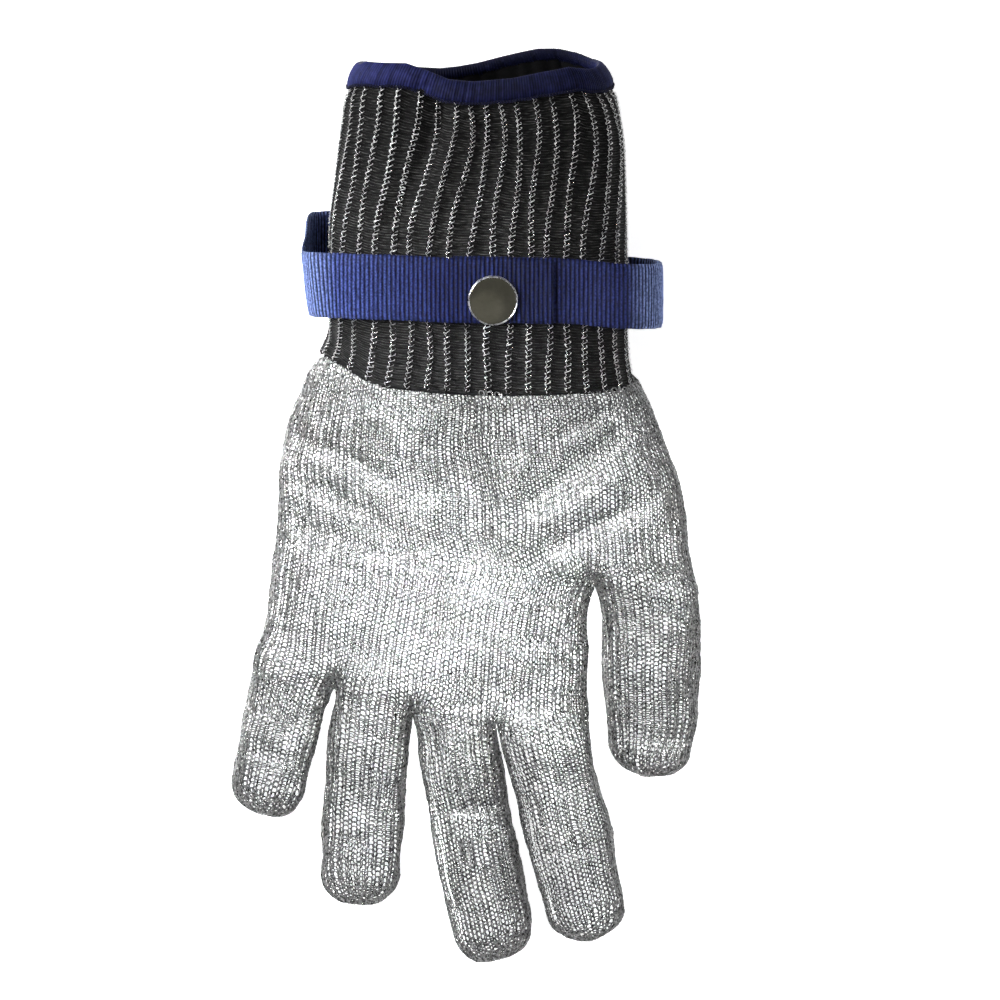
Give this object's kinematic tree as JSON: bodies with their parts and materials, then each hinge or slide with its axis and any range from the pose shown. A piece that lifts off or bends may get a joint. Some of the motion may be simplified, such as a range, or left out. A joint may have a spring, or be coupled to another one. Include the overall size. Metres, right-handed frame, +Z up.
{
  "type": "cut-resistant glove",
  "caption": "Knitted steel wire glove with separate fingers and thumb, a black ribbed cuff, a blue bound edge and a webbing wrist strap closed by a snap.",
  "frame": {"origin": "middle of the overall footprint, on the surface that the glove lies on", "axes": "+Z up, out of the palm side; +Y out of the cuff's opening; the fingers point to -Y; +X towards the thumb"},
  "size_m": [0.141, 0.2714, 0.0523],
  "materials": {
    "steel_knit": "knitted stainless wire",
    "rib_knit": "black rib knit with steel wire",
    "blue_thread": "overlocked polyester thread",
    "blue_webbing": "ribbed polyester webbing",
    "nickel": "polished black nickel"
  },
  "bodies": {
    "glove": {"palm_shell": "steel_knit", "rib_cuff": "rib_knit", "cuff_seam": "rib_knit", "edge_binding": "blue_thread", "strap_band": "blue_webbing", "strap_tack": "blue_thread", "snap_stud": "nickel", "snap_eyelet": "nickel"},
    "little_root_part": {"little_base": "steel_knit"},
    "little_end_part": {"little_tip": "steel_knit"},
    "ring_root_part": {"ring_base": "steel_knit"},
    "ring_end_part": {"ring_tip": "steel_knit"},
    "middle_root_part": {"middle_base": "steel_knit"},
    "middle_end_part": {"middle_tip": "steel_knit"},
    "index_root_part": {"index_base": "steel_knit"},
    "index_end_part": {"index_tip": "steel_knit"},
    "thumb_root_part": {"thumb_base": "steel_knit"},
    "thumb_end_part": {"thumb_tip": "steel_knit"},
    "strap_end": {"strap_flap": "blue_webbing", "snap_cap": "nickel", "snap_socket": "nickel"}
  },
  "joints": [
    {"name": "little_knuckle", "type": "hinge", "parent": "glove", "child": "little_root_part", "pos_m": [-0.0549, -0.05888, 0.01577], "axis": [-1, 0, 0], "range_deg": [0, 70]},
    {"name": "little_bend", "type": "hinge", "parent": "little_root_part", "child": "little_end_part", "pos_m": [-0.0583, -0.07488, 0.01485], "axis": [-1, 0, 0], "range_deg": [0, 70]},
    {"name": "ring_knuckle", "type": "hinge", "parent": "glove", "child": "ring_root_part", "pos_m": [-0.0293, -0.06838, 0.01653], "axis": [-1, 0, 0], "range_deg": [0, 70]},
    {"name": "ring_bend", "type": "hinge", "parent": "ring_root_part", "child": "ring_end_part", "pos_m": [-0.0313, -0.09338, 0.01561], "axis": [-1, 0, 0], "range_deg": [0, 70]},
    {"name": "middle_knuckle", "type": "hinge", "parent": "glove", "child": "middle_root_part", "pos_m": [-0.0015, -0.07488, 0.01668], "axis": [-1, 0, 0], "range_deg": [0, 70]},
    {"name": "middle_bend", "type": "hinge", "parent": "middle_root_part", "child": "middle_end_part", "pos_m": [0.0035, -0.10238, 0.01592], "axis": [-1, 0, 0], "range_deg": [0, 70]},
    {"name": "index_knuckle", "type": "hinge", "parent": "glove", "child": "index_root_part", "pos_m": [0.0261, -0.07738, 0.01653], "axis": [-1, 0, 0], "range_deg": [0, 70]},
    {"name": "index_bend", "type": "hinge", "parent": "index_root_part", "child": "index_end_part", "pos_m": [0.0313, -0.10038, 0.01577], "axis": [-1, 0, 0], "range_deg": [0, 70]},
    {"name": "thumb_knuckle", "type": "hinge", "parent": "glove", "child": "thumb_root_part", "pos_m": [0.0553, -0.03138, 0.01897], "axis": [-1, 0, 0], "range_deg": [0, 70]},
    {"name": "thumb_bend", "type": "hinge", "parent": "thumb_root_part", "child": "thumb_end_part", "pos_m": [0.0561, -0.05338, 0.01744], "axis": [-1, 0, 0], "range_deg": [0, 70]},
    {"name": "strap_opening", "type": "hinge", "parent": "glove", "child": "strap_end", "pos_m": [-0.0309, 0.07282, 0.0469], "axis": [0, -1, 0], "range_deg": [0, 120]}
  ]
}
